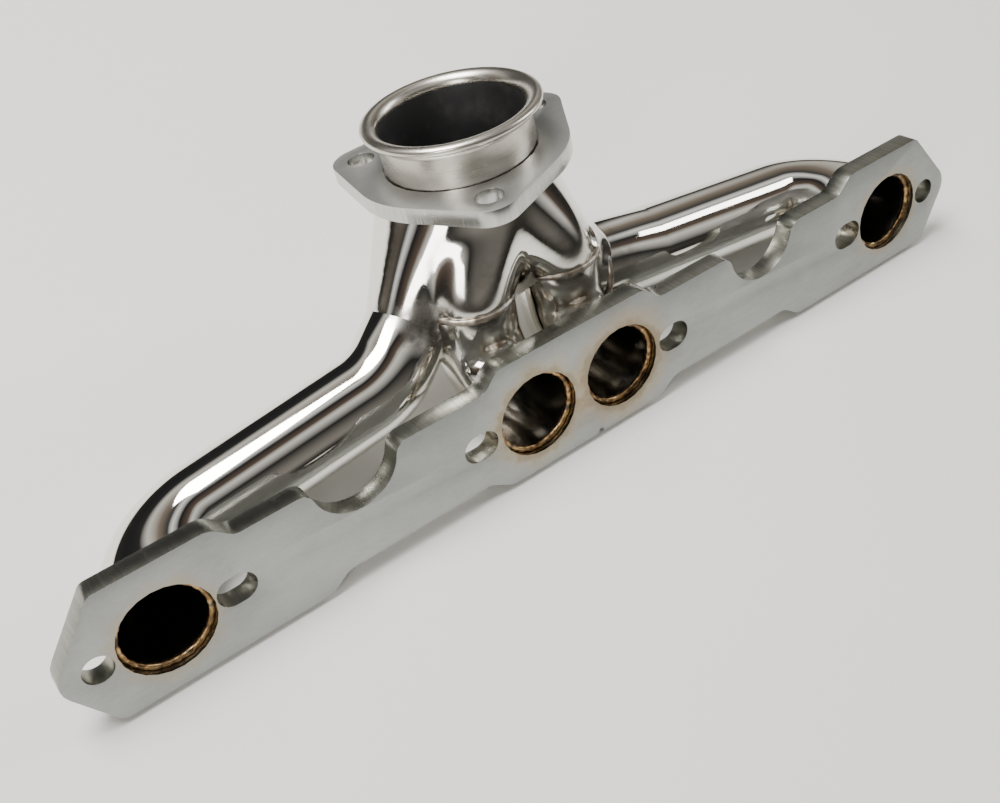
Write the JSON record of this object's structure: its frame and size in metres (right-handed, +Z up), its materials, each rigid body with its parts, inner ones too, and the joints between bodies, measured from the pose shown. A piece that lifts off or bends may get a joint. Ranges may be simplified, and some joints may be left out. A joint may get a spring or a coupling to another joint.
{
  "type": "exhaust manifold",
  "caption": "Tubular V8 exhaust manifold: head flange, primary tubes swept into a collector, and a flared outlet with a loose swivelling bolt-on flange.",
  "frame": {"origin": "middle of the footprint, on the surface that the manifold lies on", "axes": "+X along the head flange, +Y away from the cylinder head side, +Z up from the surface; the outlet leans back from +Z by the resting tilt"},
  "size_m": [0.485, 0.1472, 0.1332],
  "materials": {
    "plate_steel": "satin laser-cut plate with a fine grain",
    "flange_steel": "satin cut plate with a fine grain",
    "polished_stainless": "mirror polished",
    "satin_stainless": "polished outside, satin lip and bore",
    "weld_bead": "rippled weld with a dull heat tint",
    "tinted_weld": "rippled weld with a gold heat tint"
  },
  "bodies": {
    "manifold": {"head_flange": "plate_steel", "outer_tube_left": "polished_stainless", "inner_tube_left": "polished_stainless", "flange_weld_outer_left": "weld_bead", "port_weld_outer_left": "tinted_weld", "flange_weld_inner_left": "weld_bead", "port_weld_inner_left": "tinted_weld", "outer_tube_right": "polished_stainless", "inner_tube_right": "polished_stainless", "flange_weld_outer_right": "weld_bead", "port_weld_outer_right": "tinted_weld", "flange_weld_inner_right": "weld_bead", "port_weld_inner_right": "tinted_weld", "collector_weld_outer_left": "weld_bead", "collector_weld_inner_left": "weld_bead", "collector_weld_outer_right": "weld_bead", "collector_weld_inner_right": "weld_bead", "collector": "polished_stainless", "neck_weld": "weld_bead", "outlet_neck": "satin_stainless"},
    "loose_flange": {"outlet_flange": "flange_steel"}
  },
  "joints": [
    {"name": "flange_swivel", "type": "hinge", "parent": "manifold", "child": "loose_flange", "pos_m": [0.00037, 0.02668, 0.09699], "axis": [-0.042, 0.32, 0.9465], "continuous": true}
  ]
}
